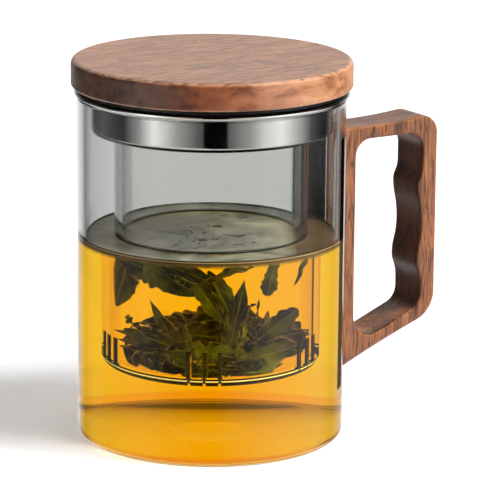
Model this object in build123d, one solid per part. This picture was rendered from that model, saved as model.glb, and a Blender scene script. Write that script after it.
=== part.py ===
"""Glass tea mug with a wooden handle, a lift-out glass infuser basket in a steel collar, and a wooden lid.

Millimetres. Z is up, the mug's axis is Z, the origin is the centre of the plane that the base rests on,
and the handle points along +X.

Pieces, from the outside in:
  mug_glass      straight-sided blown cup with a fire-polished rim and a shallow punt
  handle         flat wooden loop with three finger hollows, hollowed at the back to fit the glass
  handle_bond    clear adhesive strip between the handle and the glass
  collar         drawn steel ring that hangs from the rim and carries the basket on its ledge
  basket_glass   infuser cup with a flared lip and groups of saw-cut slits round its foot
  basket_gasket  silicone channel that wraps the basket's lip and seats it in the collar
  lid_disc       turned wooden lid with a grooved spigot
  lid_seal       silicone seal, stretched over the spigot, whose ribs grip the collar's bore
"""

import math
import os

from build123d import *

# ---- mug ----
mug_radius = 42.9
mug_height = 111.7
mug_wall = 2.6
base_thickness = 2.8
base_corner = 2.8  # outside radius where the wall meets the base
floor_corner = 2.2  # inside radius where the wall meets the floor
rim_round = 1.1
punt_radius = 11.5  # shallow hollow in the middle of the underside
punt_depth = 0.7

# ---- collar ----
sheet = 0.6
hem = 1.2  # the flange is the sheet folded back on itself
flange_overhang = 0.9  # how far the flange stands out past the glass
hem_return = 0.3  # how far the fold reaches in past the mug's wall
collar_gap = 1.6  # all round, between the skirt and the mug's bore
collar_drop = 11.4  # from the mug's rim to the collar's underside
collar_bend = 1.8  # outside radius where the skirt turns in to the ledge
flange_bend = 1.2  # radius where the flange turns down into the bore
ledge_gap = 1.6  # all round, between the ledge's edge and the basket's wall

# ---- basket gasket ----
gasket_wall = 1.2
gasket_foot = 1.0
gasket_cap = 0.8
gasket_grip = 1.9  # how far the foot and the cap reach in along the lip
gasket_bevel = 0.3
fit_slack = 0.05  # between a soft piece and the piece that it is fitted to

# ---- basket ----
basket_inset = 7.6  # from the skirt's outside to the basket's outside
basket_wall = 2.2
basket_floor = 2.4
basket_corner = 2.6
basket_floor_corner = 1.8
basket_clear = 20.6  # from the mug's floor up to the basket's underside
lip_thickness = 2.2
lip_fillet = 3.0  # where the lip flares out of the wall
lip_bevel = 0.6
slit_groups = 5
slits_per_group = 3
slit_width = 1.0
slit_height = 11.2  # from the basket's underside to the slit's round end
slit_reach = 4.6  # how far a slit runs in from the basket's outside
slit_pitch = 9.0  # degrees between the slits of a group
slit_phase = 18.5  # degrees from the handle to the middle of the first group

# ---- lid ----
lid_thickness = 8.8
lid_overhang = 1.1  # past the collar's flange
lid_top_round = 1.8
lid_bottom_round = 1.0
spigot_depth = 6.0  # how far the spigot reaches down from the lid's underside
spigot_chamfer = 0.8
groove_depth = 1.0
groove_height = 2.0
groove_drop = 2.0  # from the lid's underside to the groove

# ---- lid seal ----
seat_gap = 0.15  # between the seal's flange and the collar's flange
bore_gap = 0.15  # between the seal's ribs and the collar's bore
seal_flange = 1.35
seal_flange_inset = 0.2  # from the collar flange's edge to the seal flange's edge
seal_sleeve = 1.5
seal_bevel = 0.5
seal_lift = 0.6  # from the spigot's underside to the sleeve's lower end
rib_reach = 1.2
rib_height = 1.2  # at its root; it tapers to an edge
rib_pitch = 2.4
rib_count = 2

# ---- handle ----
handle_width = 15.0  # across its flat faces
handle_reach = 40.7  # from the glass to the outer face
handle_top_drop = 14.1  # from the mug's rim to the handle's top
handle_foot = 14.35  # height of the lower bar's underside at the glass
handle_corner_height = 30.5  # height at which the lower bar would meet the outer face
seat_bar = 8.3  # from the glass to the opening
top_bar = 5.4
grip_bar = 6.05  # outer bar, at the bottom of a finger hollow
lower_bar = 5.3
top_rise = 0.9  # the top face is this much higher at its outer end
top_dip = 1.5  # sag of the top face between its ends
lower_bow = 0.9  # rise of the lower bar's underside
outer_top_round = 6.0
outer_low_round = 10.0
opening_round = 5.7
opening_heel_round = 7.0  # at the foot of the seat bar
finger_ridge = 1.7  # height of the ridges between the finger hollows
finger_low = 0.12  # the last finger's hollow, as a share of the opening's height at the grip
finger_low_ridge = 0.265
finger_middle = 0.465
finger_top_ridge = 0.695
finger_top = 0.805
hollow_share = 0.6  # part of each step from hollow to ridge that the hollow's own arc takes
handle_round = 1.0
bond_thickness = 1.0
bond_width = 14.4
bond_margin = 1.2  # from the handle's ends to the strip's ends

# ---- what the sizes above fix ----
mug_bore = mug_radius - mug_wall
skirt_radius = mug_bore - collar_gap
collar_bore = skirt_radius - sheet
flange_radius = mug_radius + flange_overhang
flange_top = mug_height + hem
collar_bottom = mug_height - collar_drop
ledge_top = collar_bottom + sheet

basket_radius = skirt_radius - basket_inset
basket_bottom = base_thickness + basket_clear
ledge_radius = basket_radius + ledge_gap
lip_radius = collar_bore - gasket_wall - 2 * fit_slack
lip_bottom = ledge_top + gasket_foot + fit_slack
lip_top = lip_bottom + lip_thickness

lid_bottom = flange_top + seat_gap + seal_flange
lid_top = lid_bottom + lid_thickness
lid_radius = flange_radius + lid_overhang
sleeve_radius = collar_bore - bore_gap - rib_reach
spigot_radius = sleeve_radius - seal_sleeve
spigot_bottom = lid_bottom - spigot_depth

seat_radius = mug_radius + bond_thickness
handle_top = mug_height - handle_top_drop
handle_outer = mug_radius + handle_reach
handle_root = mug_radius - handle_width / 2  # inside the glass, before the seat is cut
handle_slope = (handle_corner_height - handle_foot) / (handle_outer - seat_radius)


def half_section(*points):
    """A turned part's half section, drawn in radius and height."""
    return Plane.XZ * make_face(Polyline(*points, close=True))


def corners_at(section, spots):
    """The corners of a half section that lie at the given (radius, height) spots."""
    return [
        corner
        for corner in section.vertices()
        if any(math.hypot(corner.X - r, corner.Z - z) < 0.01 for r, z in spots)
    ]


def soften(section, radius, *spots):
    return fillet(corners_at(section, spots), radius)


def bevel(section, size, *spots):
    return chamfer(corners_at(section, spots), size)


def turned(section):
    return revolve(section, Axis.Z)


def mug_glass():
    section = half_section(
        (0, 0),
        (mug_radius, 0),
        (mug_radius, mug_height),
        (mug_bore, mug_height),
        (mug_bore, base_thickness),
        (0, base_thickness),
    )
    section = soften(section, base_corner, (mug_radius, 0))
    section = soften(section, floor_corner, (mug_bore, base_thickness))
    section = soften(section, rim_round, (mug_radius, mug_height), (mug_bore, mug_height))
    crown_radius = (punt_radius**2 + punt_depth**2) / (2 * punt_depth)
    punt = Pos(0, 0, punt_depth - crown_radius) * Sphere(crown_radius)
    return turned(section) - punt


def collar():
    hem_edge = mug_bore - hem_return
    section = half_section(
        (ledge_radius, collar_bottom),
        (skirt_radius, collar_bottom),
        (skirt_radius, flange_top - sheet),
        (hem_edge, flange_top - sheet),
        (hem_edge, mug_height),
        (flange_radius, mug_height),
        (flange_radius, flange_top),
        (collar_bore, flange_top),
        (collar_bore, ledge_top),
        (ledge_radius, ledge_top),
    )
    section = soften(section, collar_bend, (skirt_radius, collar_bottom))
    section = bevel(section, collar_bend - sheet, (collar_bore, ledge_top))
    section = soften(section, flange_bend, (collar_bore, flange_top))
    section = bevel(section, flange_bend - sheet, (skirt_radius, flange_top - sheet))
    section = bevel(section, 0.3 * hem, (flange_radius, mug_height), (flange_radius, flange_top))
    return turned(section)


def basket_gasket():
    outer = collar_bore - fit_slack
    inner = lip_radius - gasket_grip
    cap_bottom = lip_top + fit_slack
    section = half_section(
        (inner, ledge_top),
        (outer, ledge_top),
        (outer, cap_bottom + gasket_cap),
        (inner, cap_bottom + gasket_cap),
        (inner, cap_bottom),
        (lip_radius + fit_slack, cap_bottom),
        (lip_radius + fit_slack, lip_bottom - fit_slack),
        (inner, lip_bottom - fit_slack),
    )
    section = bevel(section, collar_bend - sheet, (outer, ledge_top))
    section = bevel(section, gasket_bevel, (outer, cap_bottom + gasket_cap))
    return turned(section)


def slit_cutter():
    """One slit: an upright slot with a round top, cut in from the basket's outside at +X."""
    straight = slit_height - slit_width / 2
    mouth = 2 * basket_corner
    reach = Box(
        slit_reach + mouth,
        slit_width,
        straight + mouth,
        align=(Align.MIN, Align.CENTER, Align.MAX),
    )
    crown = Rot(0, 90, 0) * Cylinder(
        slit_width / 2, slit_reach + mouth, align=(Align.CENTER, Align.CENTER, Align.MIN)
    )
    top = basket_bottom + straight
    return Pos(basket_radius - slit_reach, 0, top) * (reach + crown)


def basket_glass():
    inner = basket_radius - basket_wall
    floor = basket_bottom + basket_floor
    section = half_section(
        (0, basket_bottom),
        (basket_radius, basket_bottom),
        (basket_radius, lip_bottom),
        (lip_radius, lip_bottom),
        (lip_radius, lip_top),
        (inner, lip_top),
        (inner, floor),
        (0, floor),
    )
    section = soften(section, basket_corner, (basket_radius, basket_bottom))
    section = soften(section, basket_floor_corner, (inner, floor))
    section = soften(section, lip_fillet, (basket_radius, lip_bottom), (inner, lip_top))
    section = bevel(section, lip_bevel, (lip_radius, lip_bottom), (lip_radius, lip_top))
    basket = turned(section)
    slit = slit_cutter()
    for group in range(slit_groups):
        middle = slit_phase + group * 360 / slit_groups
        for place in range(slits_per_group):
            turn = middle + (place - (slits_per_group - 1) / 2) * slit_pitch
            basket -= Rot(0, 0, turn) * slit
    return basket


def lid_disc():
    groove_top = lid_bottom - groove_drop
    groove_floor = spigot_radius - groove_depth
    section = half_section(
        (0, spigot_bottom),
        (spigot_radius - spigot_chamfer, spigot_bottom),
        (spigot_radius, spigot_bottom + spigot_chamfer),
        (spigot_radius, groove_top - groove_height),
        (groove_floor, groove_top - groove_height),
        (groove_floor, groove_top),
        (spigot_radius, groove_top),
        (spigot_radius, lid_bottom),
        (lid_radius, lid_bottom),
        (lid_radius, lid_top),
        (0, lid_top),
    )
    section = soften(section, lid_bottom_round, (lid_radius, lid_bottom))
    section = soften(section, lid_top_round, (lid_radius, lid_top))
    return turned(section)


def seal_rib(height):
    """A lip round the sleeve, tapering to an edge at the given height."""
    return turned(
        half_section(
            (sleeve_radius, height - rib_height / 2),
            (sleeve_radius + rib_reach, height),
            (sleeve_radius, height + rib_height / 2),
        )
    )


def lid_seal():
    inner = spigot_radius + fit_slack
    bead = spigot_radius - groove_depth + fit_slack
    bead_top = lid_bottom - groove_drop - fit_slack
    bead_bottom = bead_top - groove_height + 2 * fit_slack
    flange_bottom = lid_bottom - seal_flange
    section = half_section(
        (inner, spigot_bottom + seal_lift),
        (sleeve_radius, spigot_bottom + seal_lift),
        (sleeve_radius, flange_bottom),
        (flange_radius - seal_flange_inset, flange_bottom),
        (flange_radius - seal_flange_inset, lid_bottom),
        (inner, lid_bottom),
        (inner, bead_top),
        (bead, bead_top),
        (bead, bead_bottom),
        (inner, bead_bottom),
    )
    section = bevel(section, seal_bevel, (flange_radius - seal_flange_inset, flange_bottom))
    seal = turned(section)
    lowest = spigot_bottom + seal_lift + rib_height / 2 + fit_slack
    for rib in range(rib_count):
        seal += seal_rib(lowest + rib * rib_pitch)
    return seal


def round_corner(face, spot, radius):
    """Rounds the one corner of a flat face that lies at the given spot."""
    return fillet(face.vertices().sort_by_distance(Vector(*spot))[0], radius)


def handle_outline():
    """The handle's outside, drawn in to below the glass, where the seat cuts it off."""
    root_foot = handle_foot - handle_slope * (seat_radius - handle_root)
    root_top = (handle_root, handle_top)
    root_low = (handle_root, root_foot)
    outer_top = (handle_outer, handle_top + top_rise)
    outer_low = (handle_outer, handle_corner_height)
    middle = (handle_root + handle_outer) / 2
    under_middle = (root_foot + handle_corner_height) / 2 + lower_bow
    face = make_face(
        [
            Line(root_top, root_low),
            ThreePointArc(root_low, (middle, under_middle), outer_low),
            Line(outer_low, outer_top),
            ThreePointArc(outer_top, (middle, handle_top + top_rise / 2 - top_dip), root_top),
        ]
    )
    face = round_corner(face, outer_top, outer_top_round)
    return round_corner(face, outer_low, outer_low_round)


def finger_curve(hollow, ridge, low, high):
    """The grip's wavy edge, in tangent arcs, from the last finger hollow up to the first."""
    crests = [
        Vector(hollow, low + finger_low * (high - low)),
        Vector(ridge, low + finger_low_ridge * (high - low)),
        Vector(hollow, low + finger_middle * (high - low)),
        Vector(ridge, low + finger_top_ridge * (high - low)),
        Vector(hollow, low + finger_top * (high - low)),
    ]
    arcs = []
    share = hollow_share
    for start, end in zip(crests, crests[1:]):
        between = start + (end - start) * share
        arcs.append(TangentArc(start, between, tangent=(0, 1)))
        arcs.append(TangentArc(end, between, tangent=(0, -1)))
        share = 1 - share
    return arcs


def handle_opening():
    """The finger loop's opening."""
    left = mug_radius + seat_bar
    right = handle_outer - grip_bar
    top = handle_top - top_bar
    heel = (left, handle_foot + handle_slope * (left - seat_radius) + lower_bar)
    toe = (right, handle_foot + handle_slope * (right - seat_radius) + lower_bar)
    wave = finger_curve(right, right - finger_ridge, toe[1], top)
    low_finger = wave[0] @ 0
    top_finger = wave[-1] @ 0
    face = make_face(
        [
            Line(heel, toe),
            Line(toe, low_finger),
            *wave,
            Line(top_finger, (right, top)),
            Line((right, top), (left, top)),
            Line((left, top), heel),
        ]
    )
    for spot in ((left, top), (right, top), toe):
        face = round_corner(face, spot, opening_round)
    return round_corner(face, heel, opening_heel_round)


def handle():
    profile = Plane.XZ * (handle_outline() - handle_opening())
    loop = extrude(profile, handle_width / 2, both=True)
    outlines = loop.faces().filter_by(Axis.Y).edges()
    loop = fillet([edge for edge in outlines if edge.center().X > handle_root + 1], handle_round)
    glass_side = Cylinder(seat_radius, mug_height, align=(Align.CENTER, Align.CENTER, Align.MIN))
    return loop - glass_side


def handle_bond():
    low = handle_foot + bond_margin
    high = handle_top - bond_margin
    shell = turned(
        half_section(
            (mug_radius, low), (seat_radius, low), (seat_radius, high), (mug_radius, high)
        )
    )
    strip = Pos(mug_radius, 0, (low + high) / 2) * Box(mug_radius, bond_width, high - low)
    return shell & strip


makers = {
    "mug_glass": mug_glass,
    "handle": handle,
    "handle_bond": handle_bond,
    "collar": collar,
    "basket_glass": basket_glass,
    "basket_gasket": basket_gasket,
    "lid_disc": lid_disc,
    "lid_seal": lid_seal,
}

os.makedirs("parts", exist_ok=True)
for name, make in makers.items():
    export_step(make(), f"parts/{name}.step")
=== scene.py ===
import bmesh
import bpy
import math
import random
from mathutils import Matrix, Vector


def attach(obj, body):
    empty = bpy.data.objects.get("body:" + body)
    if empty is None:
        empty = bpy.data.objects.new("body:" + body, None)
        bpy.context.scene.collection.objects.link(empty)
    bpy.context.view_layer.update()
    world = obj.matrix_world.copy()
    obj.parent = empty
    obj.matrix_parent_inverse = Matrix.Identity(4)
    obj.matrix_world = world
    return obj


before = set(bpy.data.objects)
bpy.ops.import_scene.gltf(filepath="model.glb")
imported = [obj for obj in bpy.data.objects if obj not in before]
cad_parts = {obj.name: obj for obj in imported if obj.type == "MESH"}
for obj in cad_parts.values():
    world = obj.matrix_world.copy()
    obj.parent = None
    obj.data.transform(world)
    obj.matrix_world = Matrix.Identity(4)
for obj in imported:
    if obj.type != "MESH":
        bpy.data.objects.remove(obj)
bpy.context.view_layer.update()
bpy.ops.object.select_all(action="DESELECT")
print("frame loaded:", sorted(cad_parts))

mm = 0.001
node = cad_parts

# the view, from the mug's axis: metres and degrees
cameraSizes = {
    "distance": 1.03517,
    "height": 0.31439,
    "azimuth": -122,
    "pitch": 13.785,
    "yaw": 0.693,
    "roll": 0.527,
    "lens": 238.5,
}
viewTurn = math.radians(cameraSizes["azimuth"])
viewAway = Vector((-math.cos(viewTurn), -math.sin(viewTurn), 0))
viewRight = Vector((viewAway.y, -viewAway.x, 0))


def fromView(right, near, up):
    # a place given to the right of the mug's axis, nearer to the viewer, and above the table
    return viewRight * right - viewAway * near + Vector((0, 0, up))


def deselectAll():
    if bpy.context.object and bpy.context.object.mode != "OBJECT":
        bpy.ops.object.mode_set(mode="OBJECT")
    bpy.ops.object.select_all(action="DESELECT")


def pick(piece):
    deselectAll()
    piece.select_set(True)
    bpy.context.view_layer.objects.active = piece


def applyAll(piece):
    pick(piece)
    for modifier in list(piece.modifiers):
        bpy.ops.object.modifier_apply(modifier=modifier.name)


def arcPoints(centre, radius, startDeg, endDeg, steps):
    # points of a rounded corner, as (radius, height)
    angles = [math.radians(startDeg + (endDeg - startDeg) * i / steps) for i in range(steps + 1)]
    return [(centre[0] + radius * math.cos(a), centre[1] + radius * math.sin(a)) for a in angles]


def spinProfile(name, points, steps):
    # draws the half profile as a chain of points and spins it about the mug's axis
    deselectAll()
    bpy.ops.mesh.primitive_circle_add(vertices=3, radius=mm)
    piece = bpy.context.object
    piece.name = name
    bpy.ops.object.mode_set(mode="EDIT")
    bpy.ops.mesh.select_all(action="SELECT")
    bpy.ops.mesh.merge(type="CENTER")
    bpy.ops.transform.translate(value=(points[0][0] * mm, 0, points[0][1] * mm))
    for here, there in zip(points, points[1:]):
        step = ((there[0] - here[0]) * mm, 0, (there[1] - here[1]) * mm)
        bpy.ops.mesh.extrude_region_move(TRANSFORM_OT_translate={"value": step})
    bpy.ops.mesh.select_all(action="SELECT")
    bpy.ops.mesh.spin(steps=steps, angle=2 * math.pi, center=(0, 0, 0), axis=(0, 0, 1))
    bpy.ops.mesh.select_all(action="SELECT")
    bpy.ops.mesh.remove_doubles(threshold=mm * 0.002)
    bpy.ops.mesh.normals_make_consistent(inside=False)
    bpy.ops.object.mode_set(mode="OBJECT")
    return piece


def smooth(piece, degrees):
    pick(piece)
    bpy.ops.object.shade_smooth_by_angle(angle=math.radians(degrees))


def dress(piece, material):
    piece.data.materials.clear()
    piece.data.materials.append(material)


def opaque(tone):
    # a colour with its alpha, or the socket that gives one
    return tone if isinstance(tone, bpy.types.NodeSocket) else (*tone, 1)


class Nodes:
    # a node tree, and short ways to add to it; most of them give back the socket that comes out
    def __init__(self, tree):
        self.tree = tree

    def join(self, source, socket):
        # a socket is joined, and a value is set
        if isinstance(source, bpy.types.NodeSocket):
            self.tree.links.new(source, socket)
        else:
            socket.default_value = source

    def add(self, kind, sources=None, **settings):
        # a node, its settings and what feeds it; gives back all that comes out
        made = self.tree.nodes.new(kind)
        for key, value in settings.items():
            setattr(made, key, value)
        for key, source in (sources or {}).items():
            self.join(source, made.inputs[key])
        return made.outputs

    def math(self, how, *values):
        return self.add("ShaderNodeMath", dict(enumerate(values)), operation=how)[0]

    def spread(self, value, low, high, start=0, end=1):
        # maps one range of a value onto another and stops at its ends
        ranges = {"From Min": low, "From Max": high, "To Min": start, "To Max": end}
        return self.add("ShaderNodeMapRange", {"Value": value, **ranges})[0]

    def middle(self, share, first, second):
        return self.add("ShaderNodeMix", {0: share, 2: first, 3: second})[0]

    def tint(self, share, first, second, how="MIX"):
        colors = {0: share, 6: opaque(first), 7: opaque(second)}
        return self.add("ShaderNodeMix", colors, data_type="RGBA", blend_type=how)[2]

    def ramp(self, value, stops):
        # a colour picked along stops of (place, colour), by a value from 0 to 1
        made = self.tree.nodes.new("ShaderNodeValToRGB")
        self.join(value, made.inputs[0])
        marks = made.color_ramp.elements
        marks[0].position, marks[-1].position = 0, 1
        for place, tone in stops[1:-1]:
            marks.new(place)
        for mark, (place, tone) in zip(marks, stops):
            mark.color = (*tone, 1)
        return made.outputs[0]

    def noise(self, vector, scale, detail, **more):
        return self.add("ShaderNodeTexNoise", {"Vector": vector, "Scale": scale, "Detail": detail, **more})

    def parts(self, vector):
        return self.add("ShaderNodeSeparateXYZ", {0: vector})

    def away(self, x, y):
        # how far it is to the mug's axis
        flat = self.add("ShaderNodeCombineXYZ", {0: x, 1: y})[0]
        return self.add("ShaderNodeVectorMath", {0: flat}, operation="LENGTH")["Value"]

    def toRight(self, vector):
        # how far it is to the right of the mug's axis
        both = {0: vector, 1: tuple(viewRight)}
        return self.add("ShaderNodeVectorMath", both, operation="DOT_PRODUCT")["Value"]

    def band(self, value, low, high, fade):
        # 1 where a value in metres lies between two sizes in mm
        start = self.spread(value, (low - fade) * mm, low * mm)
        return self.math("MULTIPLY", start, self.spread(value, (high + fade) * mm, high * mm))

    def shade(self, color, mask, tone):
        # multiplies a colour by a tone where the mask is 1
        return self.tint(mask, color, tone, "MULTIPLY")

    def bump(self, height, strength, distance):
        sizes = {"Height": height, "Strength": strength, "Distance": distance * mm}
        return self.add("ShaderNodeBump", sizes)[0]

    def rays(self):
        return self.add("ShaderNodeLightPath")

    def mirrored(self):
        # 1 on what is seen in a reflection
        return self.math("GREATER_THAN", self.rays()["Glossy Depth"], 0.5)

    def clear(self, tone=(1, 1, 1)):
        return self.add("ShaderNodeBsdfTransparent", {"Color": opaque(tone)})[0]

    def body(self, sources):
        return self.add("ShaderNodeBsdfPrincipled", sources)[0]

    def either(self, share, first, second):
        # the first shader where the share is 0, and the second where it is 1
        return self.add("ShaderNodeMixShader", {0: share, 1: first, 2: second})[0]


class Sheet(Nodes):
    # a material, with its own shader and the places on the piece that it reads
    def __init__(self, name):
        self.material = bpy.data.materials.new(name)
        self.material.use_nodes = True
        super().__init__(self.material.node_tree)
        self.shader = self.tree.nodes["Principled BSDF"]
        self.own = self.shader.outputs[0]
        self.output = self.tree.nodes["Material Output"]
        coords = self.add("ShaderNodeTexCoord")
        self.place, self.normal, self.leafMap = coords["Object"], coords["Normal"], coords["UV"]

    def feed(self, sources):
        for key, source in sources.items():
            self.join(source, self.shader.inputs[key])

    def marks(self, clean, marked, **more):
        # the roughness that handling leaves, between two values
        sources = {"Vector": self.place, "Clean": clean, "Marked": marked, **more}
        return self.add("ShaderNodeGroup", sources, node_tree=smudges)

    def show(self, shader):
        self.join(shader, self.output.inputs["Surface"])

    def showToLamps(self, shader, tone):
        # rays from the lamps pass as through a pane, so that they reach what is behind it
        shadow = self.rays()["Is Shadow Ray"]
        self.show(self.either(shadow, shader, self.clear((tone, tone, tone))))


def newGroup(name, inputs, outputs):
    # an effect with named inputs and outputs, each given as (name, kind, value)
    tree = bpy.data.node_groups.new(name, "ShaderNodeTree")
    for label, kind, value in inputs:
        socket = tree.interface.new_socket(name=label, in_out="INPUT", socket_type="NodeSocket" + kind)
        if value is not None:
            socket.default_value = value
    for label, kind in outputs:
        tree.interface.new_socket(name=label, in_out="OUTPUT", socket_type="NodeSocket" + kind)
    return Nodes(tree), tree.nodes.new("NodeGroupInput").outputs, tree.nodes.new("NodeGroupOutput").inputs


def makeGrain():
    # long fibres, soft bands and short open pores, along the Z of the vector
    effect, given, result = newGroup(
        "wood grain",
        [
            ("Vector", "Vector", None),
            ("Dark", "Color", (0.1, 0.04, 0.02, 1)),
            ("Mid", "Color", (0.3, 0.13, 0.06, 1)),
            ("Light", "Color", (0.45, 0.2, 0.1, 1)),
            ("Band Scale", "Float", 160),
            ("Streaks", "Float", 0.5),
            ("Pores", "Float", 0.6),
            ("Fibre Scale", "Float", 1300),
        ],
        [("Color", "Color"), ("Roughness", "Float"), ("Height", "Float")],
    )
    vector = given["Vector"]
    sway = effect.noise(vector, 28, 2)["Color"]
    bend = effect.add("ShaderNodeVectorMath", {0: sway, 1: (0.5, 0.5, 0.5)}, operation="SUBTRACT")[0]
    gentle = effect.add("ShaderNodeVectorMath", {0: bend, "Scale": 0.006}, operation="SCALE")[0]
    bent = effect.add("ShaderNodeVectorMath", {0: vector, 1: gentle}, operation="ADD")[0]

    def drawnOut(squash, scale, detail, **more):
        # noise that is stretched along the fibres
        space = effect.add("ShaderNodeMapping", {"Vector": bent, "Scale": (1, 1, squash)})[0]
        return effect.noise(space, scale, detail, **more)["Fac"]

    bands = drawnOut(0.07, given["Band Scale"], 4, Roughness=0.55)
    fibres = drawnOut(0.035, given["Fibre Scale"], 3)
    pores = drawnOut(0.05, effect.math("MULTIPLY", given["Fibre Scale"], 1.45), 1)
    tone = effect.spread(effect.middle(given["Streaks"], bands, fibres), 0.37, 0.63)
    darkSide = effect.tint(effect.spread(tone, 0, 0.5), given["Dark"], given["Mid"])
    whole = effect.tint(effect.spread(tone, 0.5, 1), darkSide, given["Light"])
    depth = effect.math("MULTIPLY", effect.spread(pores, 0.4, 0.33), given["Pores"])
    effect.join(effect.tint(depth, whole, given["Dark"]), result["Color"])
    effect.join(effect.spread(fibres, 0.3, 0.7, 0.34, 0.5), result["Roughness"])
    effect.join(effect.math("SUBTRACT", fibres, depth), result["Height"])
    return effect.tree


def makeSmudges():
    # faint cloudy marks, for the roughness of glass, steel and silicone
    effect, given, result = newGroup(
        "handling marks",
        [
            ("Vector", "Vector", None),
            ("Clean", "Float", 0.02),
            ("Marked", "Float", 0.12),
            ("Scale", "Float", 40),
        ],
        [("Roughness", "Float"), ("Height", "Float")],
    )
    cloud = effect.noise(given["Vector"], given["Scale"], 5, Roughness=0.6)["Fac"]
    effect.join(effect.spread(cloud, 0.5, 0.75, given["Clean"], given["Marked"]), result["Roughness"])
    effect.join(cloud, result["Height"])
    return effect.tree


slitSizes = {
    "groups": 5,
    "pitch": 9,  # degrees between the slits of a group
    "phase": 18.5,  # degrees to the middle of the first group
    "top": 35,
    "inner": 30.2,
    "halfWidth": 0.7,
}


def makeSlitMask():
    # 1 on the sawn faces of the slits, worked out from where the slits stand round the basket
    effect, given, result = newGroup(
        "slit faces", [("Vector", "Vector", None), ("Half Width", "Float", mm)], [("Mask", "Float")]
    )
    calc = effect.math
    x, y, z = effect.parts(given["Vector"])
    away = effect.away(x, y)
    groupTurn = 2 * math.pi / slitSizes["groups"]
    pitch = math.radians(slitSizes["pitch"])
    shifted = calc("SUBTRACT", calc("ARCTAN2", y, x), math.radians(slitSizes["phase"]) - groupTurn / 2)
    inGroup = calc("SUBTRACT", calc("FLOORED_MODULO", shifted, groupTurn), groupTurn / 2)
    nearest = calc("MINIMUM", calc("MAXIMUM", calc("ROUND", calc("DIVIDE", inGroup, pitch)), -1), 1)
    off = calc("SUBTRACT", inGroup, calc("MULTIPLY", nearest, pitch))
    side = calc("ABSOLUTE", calc("MULTIPLY", calc("SINE", off), away))
    near = calc("LESS_THAN", side, given["Half Width"])
    low = calc("LESS_THAN", z, slitSizes["top"] * mm)
    outside = calc("GREATER_THAN", away, slitSizes["inner"] * mm)
    effect.join(calc("MULTIPLY", calc("MULTIPLY", near, low), outside), result["Mask"])
    return effect.tree


grain = makeGrain()
smudges = makeSmudges()
slitMask = makeSlitMask()
print("shared effects made")

teaLevel = 66.5  # above it the glass is painted a grey shade
# what both glasses look like in the tea, seen from the side, and the painted shade they get where seen edge
# on
wetTone = (0.985, 0.875, 0.9)
wetEdgeTone = (0.93, 0.8, 0.6)


def nearWall(sheet):
    # 0 on what is only seen across the basket, through its near wall, and in reflections
    rays = sheet.rays()
    depth = rays["Transmission Depth"]
    far = sheet.math("GREATER_THAN", rays["Ray Length"], 15 * mm)
    leap = sheet.math("MULTIPLY", sheet.math("GREATER_THAN", depth, 3.5), far)
    across = sheet.math("MAXIMUM", leap, sheet.math("GREATER_THAN", depth, 4.5))
    return sheet.math("SUBTRACT", 1, sheet.math("MAXIMUM", across, sheet.mirrored()))


def glassMaterial(name, sizes, tones, surface):
    # clear glass, with painted shade: greyer above the tea and darker where it is seen edge on
    sheet = Sheet(name)
    x, y, z = sheet.parts(sheet.place)
    above = sheet.spread(z, (teaLevel - 0.2) * mm, (teaLevel + 0.4) * mm)
    facing = sheet.add("ShaderNodeLayerWeight", {"Blend": 0.5})["Facing"]
    edge = sheet.spread(facing, sizes["edgeStart"], sizes["edgeStart"] + 0.08)
    warm = sheet.tint(sheet.spread(facing, 0.1, 0.75), (1, 1, 1), wetTone)
    wet = sheet.tint(edge, warm, wetEdgeTone)
    color = sheet.tint(above, wet, sheet.tint(edge, sizes["paintedGreyShade"], sizes["edge"]))
    at = {"x": x, "z": z, "away": sheet.away(x, y), "above": above, "facing": facing}
    color = tones(sheet, at, color)
    sheet.feed({
        "Base Color": color, "Roughness": sheet.marks(0, 0.006)["Roughness"], "Transmission Weight": 1,
        "IOR": sizes["ior"], "Specular Tint": (0.1, 0.1, 0.1, 1),
    })
    sheet.showToLamps(surface(sheet, at, color), sizes["lamps"])
    return sheet.material


mugSizes = {
    "ior": 1.47,
    # painted shade: grey above the tea, and darker where the glass is seen edge on
    "paintedGreyShade": (0.735, 0.745, 0.735),
    "edge": (0.6, 0.61, 0.6),
    "edgeStart": 0.72,  # how far from face on the glass starts to look edge on
    "lamps": 0.75,  # how much of the lamps' light passes
    # painted shade: a dark band at the brim
    "brim": (110.6, 112),
    "brimTone": (0.45, 0.45, 0.45),
    "baseTop": 11.5,  # the thick base looks a little deeper in tone
    "baseTone": (0.91, 0.84, 0.55),
    "corner": 40.4,  # outside this radius the base's round corner starts
    "cornerTop": 2.8,
    "cornerTone": (0.93, 0.6, 0.1),
    # painted shade where the foot meets the table
    "contactTop": 0.4,
    "contactTone": (0.3, 0.2, 0.08),
    "seat": (18, 99.5),  # heights between which the glass edge is painted dark, a painted shade for the handle seat
    "seatFacing": (0.745, 0.85),  # how far from face on that edge lies
    "paintedSeatDry": (0.003, 0.002, 0.002),
    "paintedSeatWet": (0.055, 0.032, 0.014),
    "paintedSheenReach": 43,
    "puntTop": 1.2,
    "puntRadius": 11.4,
    "puntTone": (0.9, 0.62, 0.5),
    "bore": 40.35,
    "wetTop": 66.6,
    "wetFoot": 1.5,
}
# how strong the painted sheen of reflected light over the tea is, from the far left at 0 to the far right at
# 1
paintedSheenShares = (
    (0, 0), (0.08, 0.032), (0.15, 0.034), (0.3, 0.008), (0.5, 0), (0.7, 0.022), (0.83, 0.02), (0.9, 0.042),
    (0.95, 0.015), (1, 0),
)


def mugTones(sheet, at, color):
    # painted shade darkens the brim and the foot where it stands; the thick base is deeper in tone and amber
    # at its corner
    z = at["z"]
    color = sheet.shade(color, sheet.band(z, *mugSizes["brim"], 0.2), mugSizes["brimTone"])
    color = sheet.shade(color, sheet.band(z, -1, mugSizes["baseTop"], 4), mugSizes["baseTone"])
    cornered = sheet.band(at["away"], mugSizes["corner"], 50, 0.3)
    for title, fade in (("corner", 0.7), ("contact", 0.1)):
        low = sheet.math("MULTIPLY", sheet.band(z, -1, mugSizes[title + "Top"], fade), cornered)
        color = sheet.shade(color, low, mugSizes[title + "Tone"])
    return color


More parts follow.
